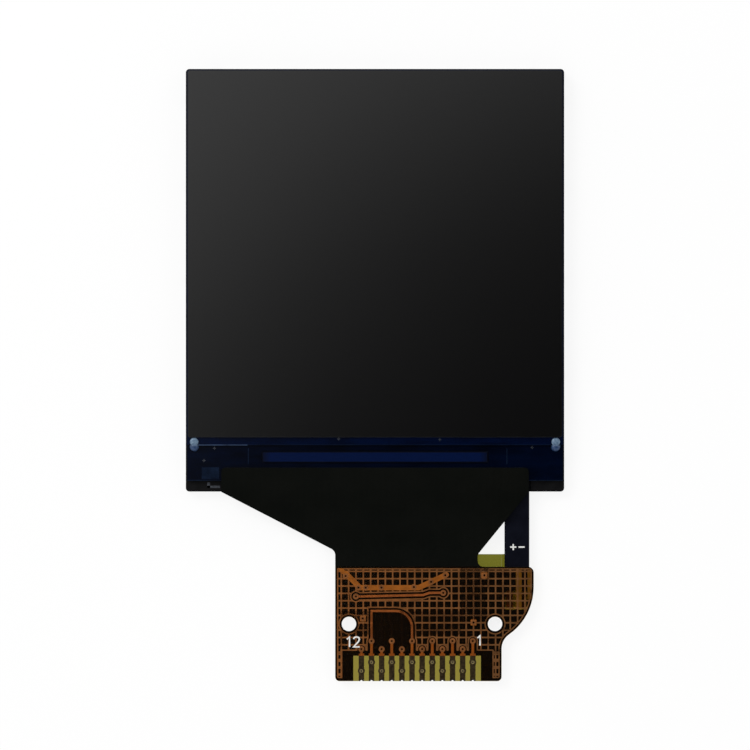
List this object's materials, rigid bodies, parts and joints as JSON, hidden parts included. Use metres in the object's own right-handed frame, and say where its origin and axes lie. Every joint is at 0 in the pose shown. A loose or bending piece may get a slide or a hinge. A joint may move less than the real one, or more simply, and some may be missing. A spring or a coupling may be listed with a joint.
{
  "type": "tft display module",
  "caption": "Small flat colour display module: glass panel with driver chip on an edge-lit steel and plastic backlight, with a flexible circuit tail that ends in solder contacts.",
  "frame": {"origin": "middle of the steel back face", "axes": "+X to the right and +Y up as the display is read, +Z out of the display towards the viewer; the tail points along -Y"},
  "size_m": [0.0262, 0.0423, 0.0015],
  "materials": {
    "tray_steel": "fine satin stainless sheet",
    "frame_plastic": "black moulded polycarbonate",
    "white_film": "white optical film",
    "clear_plastic": "clear optical plastic",
    "black_tape": "black double-sided tape",
    "strip_film": "black-covered flexible strip",
    "gold_plating": "gold plating on copper",
    "polarizer_film": "glossy neutral dark film",
    "panel_glass": "dark coated glass with a blue cast",
    "chip_silicon": "ground silicon with a blue sheen",
    "bonding_film": "conductive bonding film",
    "silver_paste": "dried silver paste",
    "polyimide_base": "translucent yellow polyimide",
    "black_cover_film": "black cover film",
    "amber_cover_film": "clear amber cover film",
    "back_cover_film": "dark blue-black cover film",
    "copper": "copper under cover film",
    "solder": "bright solder",
    "yellow_tape": "translucent yellow polyimide tape",
    "lamp_housing": "white lamp housing",
    "lamp_phosphor": "yellow phosphor filling"
  },
  "bodies": {
    "root": {"array_glass": "panel_glass", "chip_bonding_film": "bonding_film", "colour_filter_glass": "panel_glass", "contact_fingers": "gold_plating", "diffuser_sheet": "white_film", "driver_chip": "chip_silicon", "ground_paste_dots": "silver_paste", "insulating_tape": "yellow_tape", "lamp_1_housing": "lamp_housing", "lamp_1_phosphor": "lamp_phosphor", "lamp_2_housing": "lamp_housing", "lamp_2_phosphor": "lamp_phosphor", "lamp_3_housing": "lamp_housing", "lamp_3_phosphor": "lamp_phosphor", "lamp_solder_joints": "solder", "lamp_strip": "strip_film", "lamp_strip_pads": "gold_plating", "lamp_strip_tape": "black_tape", "light_guide_plate": "clear_plastic", "lower_prism_sheet": "clear_plastic", "moulded_frame": "frame_plastic", "rear_polarizer": "polarizer_film", "reflector_sheet": "white_film", "rim_tape": "black_tape", "steel_back_cover": "tray_steel", "tail_amber_film": "amber_cover_film", "tail_back_film": "back_cover_film", "tail_back_tracks": "copper", "tail_base_film": "polyimide_base", "tail_black_film": "black_cover_film", "tail_bonding_film": "bonding_film", "tail_ground_mesh": "copper", "tail_link_track": "copper", "tail_loop_track": "copper", "top_polarizer": "polarizer_film", "upper_prism_sheet": "clear_plastic", "wing_lamp_pads": "gold_plating"}
  },
  "joints": []
}
